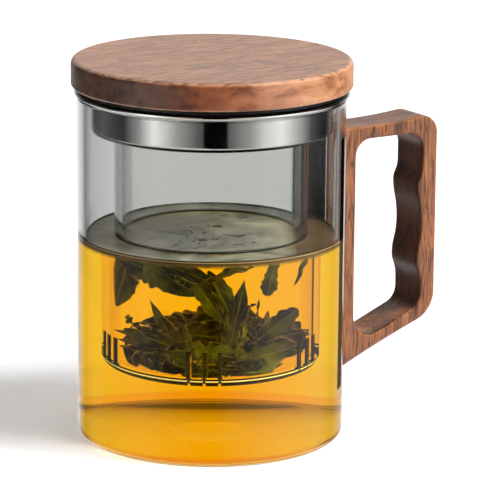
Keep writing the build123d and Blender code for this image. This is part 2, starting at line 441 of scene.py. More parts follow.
def mugSurface(sheet, at, color):
    z, away, above = at["z"], at["away"], at["above"]
    eye = sheet.rays()["Is Camera Ray"]
    # painted shade: the glass edge is painted dark where it passes the handle's seat, for camera rays only
    paintedSeatShade = sheet.tint(above, mugSizes["paintedSeatWet"], mugSizes["paintedSeatDry"])
    dark = sheet.body({"Base Color": paintedSeatShade, "Roughness": 0.9, "Specular IOR Level": 0})
    seat = sheet.band(sheet.math("MULTIPLY", at["facing"], mm), *mugSizes["seatFacing"], 0.02)
    for mask in (sheet.band(z, *mugSizes["seat"], 1), sheet.band(at["x"], 20, 50, 4), eye):
        seat = sheet.math("MULTIPLY", seat, mask)
    whole = sheet.either(seat, sheet.own, dark)
    # painted reflection: a faint white sheen of light lies over the tea, seen only by the camera
    reach = mugSizes["paintedSheenReach"] * mm
    across = sheet.spread(sheet.toRight(sheet.place), -reach, reach)
    paintedSheen = sheet.ramp(across, [(place, (share,) * 3) for place, share in paintedSheenShares])
    paintedSheen = sheet.add("ShaderNodeRGBToBW", {0: paintedSheen})[0]
    paintedSheen = sheet.math("MULTIPLY", sheet.math("MULTIPLY", paintedSheen, sheet.math("SUBTRACT", 1, above)), eye)
    whole = sheet.either(paintedSheen, whole, sheet.add("ShaderNodeBsdfDiffuse", {"Color": (1, 1, 1, 1)})[0])
    # the punt's roof is a tinted pane
    punt = sheet.band(away, -1, mugSizes["puntRadius"], 0.3)
    punt = sheet.math("MULTIPLY", sheet.band(z, -1, mugSizes["puntTop"], 0.02), punt)
    whole = sheet.either(punt, whole, sheet.clear(mugSizes["puntTone"]))
    # where the tea lies against the glass, the tea's own wall stands for it
    wet = sheet.math("LESS_THAN", away, mugSizes["bore"] * mm)
    wet = sheet.math("MULTIPLY", wet, sheet.math("LESS_THAN", z, mugSizes["wetTop"] * mm))
    wet = sheet.math("MULTIPLY", wet, sheet.math("GREATER_THAN", z, mugSizes["wetFoot"] * mm))
    return sheet.either(wet, whole, sheet.clear())


basketSizes = {
    "ior": 1.3,
    "wetIor": 1.025,
    # painted shade: grey above the tea, and darker where the glass is seen edge on
    "paintedGreyShade": (0.93, 0.93, 0.92),
    "edge": (0.42, 0.43, 0.42),
    "edgeStart": 0.5,
    "lamps": 0.93,
    # painted shade: a dark line where the tea meets the basket
    "waterline": (66.5, 67.2),
    "waterlineShade": (0.2, 0.19, 0.15),
    "footInner": 29.5,
    "paintedFootLines": ((23.8, 25.1), (25.3, 25.6), (25.75, 26.2)),  # where lines are painted round the foot: heights from and to
    # a pale painted highlight line, and the painted near black shade and pale glow of the lines
    "paintedPaleLine": (25.3, 25.6),
    "paintedLineTones": ((0.006, 0.006, 0.004), (0.85, 0.86, 0.9)),
    "paintedLineGlows": ((0, 0, 0), (0.55, 0.6, 1.0)),
}


def basketTones(sheet, at, color):
    # painted shade: a dark line along the waterline
    return sheet.shade(color, sheet.band(at["z"], *basketSizes["waterline"], 0.1), basketSizes["waterlineShade"])


def basketSurface(sheet, at, color):
    # the tea takes the sparkle off the glass; the slit faces and the lines round the foot are painted near
    # black as shade, and one pale painted highlight line glows
    wet = sheet.body({
        "Base Color": color, "Roughness": 0, "IOR": basketSizes["wetIor"], "Transmission Weight": 1,
        "Specular Tint": (0.1, 0.1, 0.1, 1),
    })
    glass = sheet.either(at["above"], wet, sheet.own)
    pale = sheet.band(at["z"], *basketSizes["paintedPaleLine"], 0.05)
    tone, glow = (sheet.tint(pale, *basketSizes[title]) for title in ("paintedLineTones", "paintedLineGlows"))
    paintedLineShader = sheet.body({
        "Base Color": tone, "Roughness": 0.5, "Specular IOR Level": 0.1,
        "Emission Color": glow, "Emission Strength": 0.5,
    })
    sizes = {"Vector": sheet.place, "Half Width": slitSizes["halfWidth"] * mm}
    lines = sheet.add("ShaderNodeGroup", node_tree=slitMask, sources=sizes)["Mask"]
    outside = sheet.band(at["away"], basketSizes["footInner"], 40, 0.2)
    for low, high in basketSizes["paintedFootLines"]:
        ring = sheet.math("MULTIPLY", sheet.band(at["z"], low, high, 0.08), outside)
        lines = sheet.math("MAXIMUM", lines, ring)
    return sheet.either(sheet.math("MULTIPLY", lines, nearWall(sheet)), glass, paintedLineShader)


# each wood's turn in degrees, tones, scales and finish, and the painted light and shade it gets by the way a
# side faces along X
handleWood = {
    "turn": 0,
    "short": (1, 1, 1),
    "dark": (0.05, 0.018, 0.008),
    "mid": (0.235, 0.09, 0.038),
    "light": (0.37, 0.155, 0.064),
    "bands": 210,
    "fibres": 1300,
    "streaks": 0.6,
    "pores": 0.9,
    "sides": 1,  # how strong streaks and pores are on the sides
    "bump": 0.12,
    "flatness": 0.6,
    "edgeAxis": "Y",
    # painted light and shade by the way a side faces along X
    "paintedSideLight": (
        (-1, (0.4, 0.34, 0.3)), (-0.6, (0.45, 0.38, 0.34)), (-0.25, (1, 0.96, 0.92)),
        (0.5, (1.15, 0.98, 0.84)), (1, (1.25, 1.02, 0.82)),
    ),
}
lidWood = {
    "turn": 90,
    "short": (2.8, 1, 1),
    "dark": (0.2, 0.088, 0.045),
    "mid": (0.42, 0.205, 0.115),
    "light": (0.52, 0.285, 0.175),
    "bands": 260,
    "fibres": 640,
    "streaks": 0.8,
    "pores": 0.8,
    "sides": 0.12,
    "bump": 0.08,
    "flatness": 0.5,
    "edgeAxis": "Z",
    # painted light and shade by the way a side faces along X
    "paintedSideLight": (
        (-1, (0.24, 0.2, 0.17)), (-0.78, (0.3, 0.18, 0.13)), (-0.6, (0.58, 0.3, 0.16)),
        (-0.33, (0.84, 0.53, 0.39)), (-0.15, (1.1, 0.96, 0.88)), (0.2, (1.2, 1.06, 0.88)),
        (1, (1.05, 0.85, 0.6)),
    ),
}
# painted highlight on rounded edges
paintedEdgeHighlight = (1.35, 1.45, 1.55)
paintedSeatLine = 45.4  # painted shade: the handle is darker up to here, next to the glass
paintedSeatShade = (0.17, 0.16, 0.155)


def paintedLightAndShade(sheet, color, look):
    # painted light and shade: each side is lighter or darker by the way it faces along X, with a little
    # random change; flat tops keep their tone
    faces = sheet.parts(sheet.normal)
    turned = sheet.math("MULTIPLY_ADD", sheet.noise(sheet.place, 60, 3)["Fac"], 0.18, faces["X"])
    stops = [(place / 2 + 0.5, tone) for place, tone in look["paintedSideLight"]]
    toned = sheet.ramp(sheet.spread(turned, -0.91, 1.09), stops)
    side = sheet.spread(sheet.math("ABSOLUTE", faces["Z"]), look["flatness"], look["flatness"] + 0.3, 1, 0)
    return sheet.shade(color, side, toned)


def woodMaterial(name, look):
    sheet = Sheet(name)
    faces = sheet.parts(sheet.normal)
    level = sheet.math("GREATER_THAN", sheet.math("ABSOLUTE", faces["Z"]), 0.7)
    upright, lying = (
        sheet.add(
            "ShaderNodeMapping",
            {"Vector": sheet.place, "Rotation": (0, math.radians(degrees), 0), "Scale": look["short"]},
        )[0]
        for degrees in (look["turn"], 90)
    )
    along = sheet.add("ShaderNodeMix", {0: level, 4: upright, 5: lying}, data_type="VECTOR")[1]
    sources = {"Vector": along, "Band Scale": look["bands"], "Fibre Scale": look["fibres"]}
    for label in ("Dark", "Mid", "Light"):
        sources[label] = opaque(look[label.lower()])
    for label in ("Streaks", "Pores"):
        strength = look[label.lower()]
        sources[label] = sheet.spread(level, 0, 1, strength * look["sides"], strength)
    wood = sheet.add("ShaderNodeGroup", node_tree=grain, sources=sources)
    color = paintedLightAndShade(sheet, wood["Color"], look)
    # painted highlight: rounded edges are made lighter
    turned = sheet.math("MULTIPLY", sheet.math("ABSOLUTE", faces[look["edgeAxis"]]), mm)
    color = sheet.shade(color, sheet.band(turned, 0.5, 0.88, 0.1), paintedEdgeHighlight)
    x, y, z = sheet.parts(sheet.place)
    # painted shade on the wood next to the glass
    seat = sheet.math("MULTIPLY", sheet.band(sheet.away(x, y), 40, paintedSeatLine, 0.5), sheet.band(z, 0, 105, 2))
    sheet.feed({
        "Base Color": sheet.shade(color, seat, paintedSeatShade), "Roughness": wood["Roughness"],
        "Normal": sheet.bump(wood["Height"], 0.5, look["bump"]), "Specular IOR Level": 0.5,
    })
    return sheet.material


steelSizes = {
    "tones": ((0.68, 0.68, 0.66), (0.76, 0.76, 0.74)),
    "shades": ((99, 101.5, 0.015), (112.4, 113.1, 0.025)),  # painted shade in place of dark reflections: from, to and how dark
}


def steelMaterial():
    # polished strip, with the very fine lines that rolling leaves round it
    sheet = Sheet("polished steel")
    lines = sheet.add("ShaderNodeMapping", {"Vector": sheet.place, "Scale": (0.05, 0.05, 1)})[0]
    fine = sheet.noise(lines, 2500, 2)["Fac"]
    color = sheet.tint(fine, *steelSizes["tones"])
    height = sheet.parts(sheet.place)["Z"]
    # painted shade in place of dark reflections at these heights
    for low, high, share in steelSizes["shades"]:
        color = sheet.shade(color, sheet.band(height, low, high, 0.05), (share,) * 3)
    sheet.feed({
        "Base Color": color, "Roughness": sheet.marks(0.07, 0.16)["Roughness"], "Metallic": 1,
        "Normal": sheet.bump(fine, 0.08, 0.02),
    })
    return sheet.material


def siliconeMaterial():
    sheet = Sheet("dark silicone")
    marks = sheet.marks(0.14, 0.3, Scale=900)
    dust = sheet.spread(marks["Height"], 0.4, 0.8)
    sheet.feed({
        "Base Color": sheet.tint(dust, (0.012, 0.012, 0.012), (0.035, 0.035, 0.034)),
        "Roughness": marks["Roughness"], "Normal": sheet.bump(marks["Height"], 0.2, 0.03),
        "Specular IOR Level": 0.15,
    })
    return sheet.material


bondSizes = {
    "edge": 7.05,  # from the handle's middle to the adhesive's pale outer edge
    "middle": 43.35,
    "bubbles": (0.13, 0.1, 0.08),
    # painted shade: the adhesive's near black tone
    "tone": (0.012, 0.008, 0.006),
    "bead": (0.93, 0.88, 0.83),
}


def adhesiveMaterial():
    # painted shade: near black, for the shaded seat of the handle, with a few small bubbles and a pale outer
    # edge
    sheet = Sheet("adhesive painted dark")
    bubbles = sheet.add("ShaderNodeTexVoronoi", {"Vector": sheet.place, "Scale": 700})["Distance"]
    tone = sheet.tint(sheet.spread(bubbles, 0.12, 0.2), bondSizes["bubbles"], bondSizes["tone"])
    x, y = sheet.parts(sheet.place)[:2]
    bead = sheet.band(sheet.math("ABSOLUTE", y), bondSizes["edge"], 9, 0.1)
    bead = sheet.math("MULTIPLY", bead, sheet.band(sheet.away(x, y), bondSizes["middle"], 50, 0.1))
    sheet.feed({"Base Color": sheet.tint(bead, tone, bondSizes["bead"]), "Roughness": 0.25})
    return sheet.material


silicone = siliconeMaterial()
finishes = {
    "mug_glass": (glassMaterial("mug glass", mugSizes, mugTones, mugSurface), "glass"),
    "basket_glass": (glassMaterial("basket glass", basketSizes, basketTones, basketSurface), "basket_glass"),
    "handle": (woodMaterial("handle walnut", handleWood), "walnut"),
    "lid_disc": (woodMaterial("lid walnut", lidWood), "lid_walnut"),
    "collar": (steelMaterial(), "steel"),
    "lid_seal": (silicone, "silicone"),
    "basket_gasket": (silicone, "silicone"),
    "handle_bond": (adhesiveMaterial(), "adhesive"),
}
for name, (material, slot) in finishes.items():
    dress(node[name], material)
print("finishes set")

teaSizes = {
    "radius": 42.1,  # well into the glass, because a wet wall looks much thinner than it is
    "bottom": 0.9,
    "corner": 2.2,
    "climb": 0.5,  # how far the tea climbs at the mug's glass
    "climbWidth": 1.2,
    "basketOuter": 31.1,
    "basketInner": 28.9,
    "basketClimb": 0.3,
    "ior": 1.126,
    "iorInGlass": 0.766,
    "color": (0.9956, 0.899, 0.0, 1),
    "density": 101,
    # tones of the film, partly a real film and partly painted reflection
    "filmAndSheen": ((0.055, 0.05, 0.022), (0.46, 0.42, 0.26)),
    "filmShadeStart": 22,  # how far to the right the painted shade on the film starts
    "filmShadeEnd": 27,
    "filmShade": (0.3, 0.17, 0.09),
    "grazeStart": 0.45,  # how far from face on the surface starts to look grey
    "grazeEnd": 0.7,
    "edge": 2.2,  # how far down the glass the tea's edge is painted dark, as shade
    "edgeCover": 0.45,  # the share of that edge over which it fades in
}
# the edge's painted shade, with a thin painted highlight line, from its foot at 0 to the top of the climb at
# 1
paintedTeaEdge = (
    (0, (0.16, 0.1, 0.006)), (0.45, (0.12, 0.07, 0.003)), (0.62, (0.07, 0.025, 0.002)),
    (0.7, (0.06, 0.02, 0.002)), (0.74, (0.5, 0.36, 0.14)), (0.8, (0.5, 0.36, 0.14)),
    (0.84, (0.05, 0.025, 0.004)), (1, (0.05, 0.025, 0.004)),
)


def teaGlass(ior):
    return {
        "Base Color": (1, 1, 1, 1), "Transmission Weight": 1, "Roughness": 0, "IOR": ior,
        "Specular Tint": (0.05, 0.05, 0.05, 1),
    }


def filmAndSheenColor(sheet):
    # the thin cloudy film on the tea, whose grey partly stands as painted reflection, with painted shade
    # near the handle
    filmAndSheen = sheet.noise(sheet.place, 38, 6, Distortion=1.6)["Fac"]
    tone = sheet.tint(sheet.spread(filmAndSheen, 0.3, 0.7), *teaSizes["filmAndSheen"])
    start, end = teaSizes["filmShadeStart"] * mm, teaSizes["filmShadeEnd"] * mm
    return sheet.shade(tone, sheet.spread(sheet.toRight(sheet.place), start, end, 0, 0.9), teaSizes["filmShade"])


def teaMaterial():
    # clear amber; seen along, its surface is a dull grey thin film, whose colour is partly painted
    # reflection
    sheet = Sheet("tea")
    sheet.feed(teaGlass(teaSizes["iorInGlass"]))
    depth = {"Color": teaSizes["color"], "Density": teaSizes["density"]}
    absorb = sheet.add("ShaderNodeVolumeAbsorption", depth)[0]
    forEyes = sheet.add("ShaderNodeMixShader", {0: sheet.rays()["Is Shadow Ray"], 1: absorb})[0]
    sheet.join(forEyes, sheet.output.inputs["Volume"])
    x, y, z = sheet.parts(sheet.place)
    upright = sheet.math("ABSOLUTE", sheet.parts(sheet.normal)["Z"])
    top = sheet.math("GREATER_THAN", upright, 0.3)
    top = sheet.math("MULTIPLY", top, sheet.math("GREATER_THAN", z, (teaLevel - 0.1) * mm))

    facing = sheet.add("ShaderNodeLayerWeight", {"Blend": 0.5})["Facing"]
    graze = sheet.spread(facing, teaSizes["grazeStart"], teaSizes["grazeEnd"], 0.3, 0.97)
    share = sheet.math("MAXIMUM", graze, sheet.spread(upright, 0.99, 0.94))
    skin = sheet.body({"Base Color": filmAndSheenColor(sheet), "Roughness": 0.08, "Specular IOR Level": 0.09})
    filmed = sheet.either(share, sheet.body(teaGlass(teaSizes["ior"])), skin)
    # painted shade: a dark ring where the tea meets the basket
    dark = sheet.body({"Base Color": (0.02, 0.018, 0.01, 1), "Roughness": 0.6, "Specular IOR Level": 0})
    contact = sheet.band(sheet.away(x, y), teaSizes["basketInner"], teaSizes["basketOuter"], 0.02)
    topShader = sheet.either(contact, filmed, dark)

    # painted shade and a thin painted highlight line along the tea's edge at the glass
    rise = sheet.spread(z, (teaLevel - teaSizes["edge"]) * mm, (teaLevel + teaSizes["climb"]) * mm)
    tone = sheet.ramp(rise, paintedTeaEdge)
    solid = sheet.body({"Base Color": tone, "Roughness": 0.4, "Specular IOR Level": 0.1})
    wall = sheet.either(sheet.spread(rise, 0, teaSizes["edgeCover"]), sheet.own, solid)
    sheet.showToLamps(sheet.either(top, wall, topShader), 1)
    return sheet.material


def makeTea():
    radius, bottom, corner = (teaSizes[key] for key in ("radius", "bottom", "corner"))
    outer, inner, climb = teaSizes["basketOuter"], teaSizes["basketInner"], teaSizes["basketClimb"]
    rise, width = teaSizes["climb"], teaSizes["climbWidth"]
    points = [(0, bottom)]
    points += arcPoints((radius - corner, bottom + corner), corner, -90, 0, 12)
    points.append((radius, teaLevel - teaSizes["edge"]))
    points.append((radius, teaLevel + rise))
    for share in (0.25, 0.5, 0.75, 1):
        points.append((radius - width * share, teaLevel + rise * (1 - share) ** 2))
    for share in (1, 0.6, 0.25, 0):
        points.append((outer - 0.1 + share, teaLevel + climb * (1 - share) ** 2))
    for share in (0, 0.25, 0.6, 1):
        points.append((inner + 0.1 - share, teaLevel + climb * (1 - share) ** 2))
    points.append((0, teaLevel))
    tea = spinProfile("tea", points, 160)
    dress(tea, teaMaterial())
    smooth(tea, 60)
    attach(tea, "mug")


makeTea()
print("tea made")

leafSizes = {
    "rows": 24,
    "columns": 6,
    "narrowest": 0.07,  # of the leaf's width, at its tips
    "ruffleScale": 7,
    "thickness": 0.3,
    "floor": 26.1,  # the leaves stay inside the basket and under the surface
    "ceiling": 66.2,
    "wall": 28.5,
    "scrapTop": 66.75,
    "fillSeed": 7,
    "smallScraps": 22,
    "stripRadius": 30.6,
    "stripHeight": 29.5,
    "stripSizes": (0.7, 0.84, 9.6),  # of the dark strips, shaped like soaked crumbs, that fill each slit as painted shade
    "stripFoot": 26,  # below it the strips lean in with the basket's foot
    "stripLean": 0.5,
    # dark, light and painted edge highlight tones
    "green": ((0.001, 0.0014, 0.0005), (0.07, 0.088, 0.008), (0.45, 0.4, 0.1)),
    "dull": ((0.012, 0.012, 0.006), (0.04, 0.038, 0.02), (0.06, 0.055, 0.03)),
    # painted shade tones of the slit strips
    "slitShadeTones": ((0.002, 0.002, 0.001), (0.014, 0.012, 0.005)),
}

# name: length, width, cup, bend and twist in degrees, ruffle, where it is widest, how blunt, how ragged
leafShapes = {
    "broad": (32, 13, 50, 25, 25, 2.2, 0.42, 0.75, 0.16),
    "lens": (26, 8, 80, -35, 40, 1.2, 0.5, 0.9, 0.12),
    "blade": (34, 7, 90, 20, 45, 1.0, 0.4, 0.9, 0.14),
    "curled": (28, 12, 150, 60, 90, 1.8, 0.55, 0.6, 0.2),
    "torn": (26, 11, 40, 20, 20, 1.6, 0.7, 0.35, 0.3),
    "stalk": (26, 2.2, 140, 30, 40, 0.8, 0.3, 0.3, 0.1),
    "scrap": (9, 4, 60, 30, 30, 0.8, 0.5, 0.5, 0.3),
}


def leafBlank(name, length, width, cup, bend, twist, ruffle, widest, blunt, ragged):
    # a flat grid, narrowed row by row, then curled, ruffled and thickened
    dice = random.Random(name)
    deselectAll()
    rows, columns = leafSizes["rows"], leafSizes["columns"]
    bpy.ops.mesh.primitive_grid_add(x_subdivisions=rows, y_subdivisions=columns, size=1)
    leaf = bpy.context.object
    leaf.name = name
    bpy.ops.object.mode_set(mode="EDIT")
    bpy.ops.mesh.select_all(action="SELECT")
    bpy.ops.transform.resize(value=(length * mm, width * mm, 1))
    shape = bmesh.from_edit_mesh(leaf.data)
    for row in range(rows + 1):
        along = row / rows
        x = (along - 0.5) * length * mm
        for vertex in shape.verts:
            vertex.select = abs(vertex.co.x - x) < 0.01 * mm
        shape.select_flush_mode()
        bmesh.update_edit_mesh(leaf.data)
        stretch = along / widest / 2 if along < widest else 0.5 + (along - widest) / (1 - widest) / 2
        full = max(leafSizes["narrowest"], math.sin(math.pi * stretch) ** blunt)
        bpy.ops.transform.resize(value=(1, full * dice.uniform(1 - ragged, 1 + ragged / 2), 1))
    bpy.ops.object.mode_set(mode="OBJECT")
    clouds = bpy.data.textures.new(name + " ruffle", "CLOUDS")
    clouds.noise_scale = leafSizes["ruffleScale"] * mm
    wave = leaf.modifiers.new("ruffle", "DISPLACE")
    wave.texture = clouds
    wave.strength = ruffle * mm
    wave.mid_level = 0.5
    for kind, axis, degrees in (("BEND", "X", cup), ("TWIST", "X", twist), ("BEND", "Y", bend)):
        curl = leaf.modifiers.new(kind + axis, "SIMPLE_DEFORM")
        curl.deform_method = kind
        curl.deform_axis = axis
        curl.angle = math.radians(degrees)
    body = leaf.modifiers.new("thickness", "SOLIDIFY")
    body.thickness = leafSizes["thickness"] * mm
    body.offset = 0
    soften = leaf.modifiers.new("soften", "SUBSURF")
    soften.levels = soften.render_levels = 1
    applyAll(leaf)
    return leaf


def layLeaf(blank, start, end, roll, widen):
    # a copy that runs from one place to another
    copy = blank.copy()
    copy.data = blank.data.copy()
    bpy.context.scene.collection.objects.link(copy)
    run = end - start
    reach = run.length / (leafShapes[blank.name][0] * mm)
    turn = run.to_track_quat("X", "Z").to_matrix().to_4x4()
    grow = Matrix.Diagonal((reach, widen, widen, 1))
    copy.data.transform(
        Matrix.Translation((start + end) / 2) @ turn @ Matrix.Rotation(math.radians(roll), 4, "X") @ grow
    )
    return copy


def keepInBasket(piece):
    wall = leafSizes["wall"] * mm
    for vertex in piece.data.vertices:
        spot = vertex.co
        flat = math.hypot(spot.x, spot.y)
        if flat > wall:
            spot.x *= wall / flat
            spot.y *= wall / flat
        spot.z = min(max(spot.z, leafSizes["floor"] * mm), leafSizes["ceiling"] * mm)


def keepAfloat(piece):
    for vertex in piece.data.vertices:
        vertex.co.z = min(max(vertex.co.z, leafSizes["ceiling"] * mm), leafSizes["scrapTop"] * mm)


def joinPieces(name, pieces):
    deselectAll()
    for piece in pieces:
        piece.select_set(True)
    bpy.context.view_layer.objects.active = pieces[0]
    bpy.ops.object.join()
    whole = bpy.context.object
    whole.name = name
    whole.data.name = name
    return whole


def leafMaterial(name, dark, light, edgeHighlight):
    # a pale midrib and side veins along the leaf's own map, over a mottled green, with a painted highlight
    # along parts of the edges; not seen in reflections
    sheet = Sheet(name)
    length, width = sheet.parts(sheet.leafMap)[:2]
    mottle = sheet.noise(sheet.place, 110, 4)["Fac"]
    side = sheet.math("ABSOLUTE", sheet.math("SUBTRACT", width, 0.5))
    slant = sheet.math("MULTIPLY", sheet.math("MULTIPLY_ADD", side, -0.7, length), 9)
    veins = sheet.spread(sheet.math("PINGPONG", slant, 1), 0.02, 0.16, 0.5, 0)
    lines = sheet.math("MAXIMUM", sheet.spread(side, 0.012, 0.05, 1, 0), veins)
    tone = sheet.tint(sheet.spread(mottle, 0.47, 0.66), dark, light)
    tone = sheet.tint(lines, tone, (light[0] * 1.4, light[1] * 1.4, light[2] * 1.3))
    edgeGlintPatches = sheet.spread(sheet.noise(sheet.place, 160, 2)["Fac"], 0.53, 0.6)
    tone = sheet.tint(sheet.math("MULTIPLY", sheet.spread(side, 0.46, 0.49), edgeGlintPatches), tone, edgeHighlight)
    sheet.feed({
        "Base Color": tone, "Roughness": 0.33, "Specular IOR Level": 0.25,
        "Normal": sheet.bump(sheet.math("ADD", lines, mottle), 0.6, 0.25),
    })
    sheet.show(sheet.either(sheet.mirrored(), sheet.own, sheet.clear()))
    return sheet.material


def slitShadeMaterial():
    # painted shade: dark strips in the slits, shaped like soaked crumbs, only dark in the wall that is
    # nearest
    sheet = Sheet("slit shade strips")
    lumps = sheet.noise(sheet.place, 900, 3)["Fac"]
    tone = sheet.tint(lumps, *leafSizes["slitShadeTones"])
    sheet.feed({"Base Color": tone, "Normal": sheet.bump(lumps, 0.4, 0.1), "Roughness": 0.4})
    sheet.show(sheet.either(nearWall(sheet), sheet.clear(), sheet.own))
    return sheet.material


# leaves listed one by one: shape, where each runs from and to as (right, near, up) in mm, roll in degrees,
# width
hangingLeaves = (
    ("broad", (-23.5, 12, 64), (-27.5, 7, 44), 80, 1.0),
    ("torn", (-29, 8, 61), (-14, 20, 57), 50, 0.8),
    ("broad", (-22, 18, 62), (-3, 21, 51), 55, 0.85),
    ("curled", (-12, 22, 60), (2, 22, 52), 70, 0.6),
    ("lens", (-19, 22, 63), (1, 27, 57), 50, 0.8),
    ("lens", (-3, 27, 57), (13, 24, 61), -40, 0.8),
    ("blade", (-8, 20, 63), (14, 20, 62), 10, 0.9),
    ("lens", (-6, 24, 58), (4, 24, 43), 75, 0.8),
    ("broad", (-1, 19, 59), (9, 18, 37), 80, 0.66),
    ("blade", (9, 19, 62), (26, 12, 62), 40, 0.7),
    ("torn", (19, 16, 62), (16.5, 16, 50), 75, 0.5),
    ("blade", (29, 6, 62), (24, 8, 51), 60, 0.4),
    ("stalk", (-33, 4, 61), (-27, 9, 63), 0, 1.4),
    ("broad", (-20, -8, 62), (4, -10, 62), 0, 1.0),
    ("broad", (2, -14, 62), (22, -8, 63), 0, 0.9),
)
heapLeaves = (
    ("blade", (5, 22, 30), (10, 20, 56), 60, 1.1),
    ("blade", (7.5, 21, 30), (9, 19, 50), 100, 0.9),
    ("blade", (3, 20, 29), (5, 19, 45), 60, 0.9),
    ("curled", (13, 12, 32), (14, 12, 48), 10, 0.5),
    ("torn", (10, 12, 31), (25.5, 9, 44), 70, 0.6),
    ("blade", (16, 8, 34), (30, 3, 35.5), 60, 0.5),
    ("blade", (-12, 14, 34), (-28.6, 6, 36), 60, 0.45),
    ("blade", (-14, 12, 31), (-27.4, 8, 33.5), 60, 0.5),
    ("stalk", (-25, 12, 42), (-17, 14, 33), 0, 1.1),
    ("blade", (-8, 16, 30), (-18, 14, 48), 70, 0.7),
    ("stalk", (-9, 8, 36), (-1, 8, 46), 0, 2.2),
    ("broad", (6, 24, 28), (25, 14, 33), 40, 0.9),
    ("broad", (2, 26, 27.5), (22, 18, 28), 30, 0.6),
    ("broad", (-4, 26, 28), (12, 25, 28), 20, 0.7),
    ("broad", (-26, 8, 31), (-8, 22, 29), 40, 0.9),
    ("torn", (-24, 12, 28), (-6, 24, 28), 40, 0.8),
    ("curled", (-14, 20, 33), (-2, 20, 31), 60, 0.7),
    ("broad", (-12, 10, 36), (6, 12, 35), 60, 0.8),
    ("torn", (-6, 4, 38), (9, 2, 40), 60, 0.8),
    ("blade", (-20, -8, 35), (-4, -12, 34), 70, 0.9),
    ("blade", (8, -12, 34), (24, -6, 34), 70, 0.9),
    ("broad", (12, 6, 32), (27, 2, 29), 60, 0.8),
    ("broad", (-9, 27, 27), (1, 27.5, 27), 80, 0.6),
    ("torn", (-5, 25, 34), (7, 25, 32), 80, 0.7),
    ("blade", (-14, 24, 33), (-4, 26, 29), 70, 0.8),
    ("broad", (10, 26, 27), (20, 22, 27), 80, 0.6),
)
# scraps that float: shape, where each runs from and to as (right, near) in mm, and width
floatingScraps = (
    ("torn", (4, 2), (14.5, 7), 0.5),
    ("torn", (8, 5), (12, 1), 0.4),
    ("scrap", (-9.5, -3), (-4, -1), 0.9),
    ("scrap", (-20, 9), (-17, 8), 0.6),
    ("blade", (-7, 13), (3, 9), 0.35),
    ("scrap", (-4, 12), (-1, 9), 0.8),
    ("scrap", (0, 9), (4, 10), 0.6),
    ("scrap", (6, 17), (13, 15), 0.5),
    ("scrap", (-12, 17), (-8, 18), 0.4),
    ("blade", (-2, -9), (8, -7), 0.3),
)
# loose leaves: how many, how far out, heights from and to, and how steep in degrees
heapFill = (44, 23, 27.5, 36, 22)
hangingFill = (14, 20, 60, 64, 8)


def fillHeap(blanks, dice, count, radius, low, high, slope):
    # loose leaves thrown in at random, each lying nearly flat
    made = []
    for index in range(count):
        turn = dice.uniform(0, 2 * math.pi)
        away = radius * math.sqrt(dice.random())
        heading = dice.uniform(0, 2 * math.pi)
        name = dice.choice(("broad", "broad", "lens", "blade", "curled"))
        half = leafShapes[name][0] / 2 * dice.uniform(0.6, 0.9)
        tilt = math.radians(dice.uniform(-slope, slope))
        centre = Vector((away * math.cos(turn), away * math.sin(turn), dice.uniform(low, high))) * mm
        flat = math.cos(tilt)
        run = Vector((math.cos(heading) * flat, math.sin(heading) * flat, math.sin(tilt))) * (half * mm)
        roll, widen = dice.uniform(-60, 60), dice.uniform(0.6, 1)
        made.append(layLeaf(blanks[name], centre - run, centre + run, roll, widen))
    return made


def layScraps(blanks, dice):
    # scraps that float, the larger ones listed one by one
    made = []
    for name, start, end, widen in floatingScraps:
        place, reach = (fromView(*spot, leafSizes["ceiling"]) * mm for spot in (start, end))
        made.append(layLeaf(blanks[name], place, reach, 0, widen))
    for index in range(leafSizes["smallScraps"]):
        spot = fromView(dice.uniform(-16, 16), dice.gauss(2, 10), leafSizes["ceiling"])
        turn = dice.gauss(0, 0.4)
        run = fromView(math.cos(turn), math.sin(turn), 0) * dice.uniform(0.4, 1.6)
        widen = dice.uniform(0.2, 0.5)
        made.append(layLeaf(blanks["scrap"], (spot - run) * mm, (spot + run) * mm, 0, widen))
    return made


def slitShadeStrip(dice, degrees):
    # a dark rough strip in one slit, shaped like soaked crumbs, that follows the basket's wall; it stands as
    # painted shade
    deselectAll()
    bpy.ops.mesh.primitive_cube_add(size=1, location=(leafSizes["stripRadius"], 0, leafSizes["stripHeight"]))
    strip = bpy.context.object
    bpy.ops.object.mode_set(mode="EDIT")
    bpy.ops.transform.resize(value=leafSizes["stripSizes"])
    bpy.ops.mesh.subdivide(number_cuts=7)
    bpy.ops.object.mode_set(mode="OBJECT")
    for vertex in strip.data.vertices:
        low = max(0, leafSizes["stripFoot"] - (vertex.co.z + strip.location.z))
        vertex.co.x -= low * leafSizes["stripLean"]
        vertex.co.y *= dice.uniform(0.75, 1)
        vertex.co.z += dice.uniform(-0.2, 0.2)
    turn = Matrix.Rotation(math.radians(degrees), 4, "Z")
    strip.data.transform(turn @ Matrix.Scale(mm, 4) @ strip.matrix_world)
    strip.matrix_world = Matrix.Identity(4)
    return strip


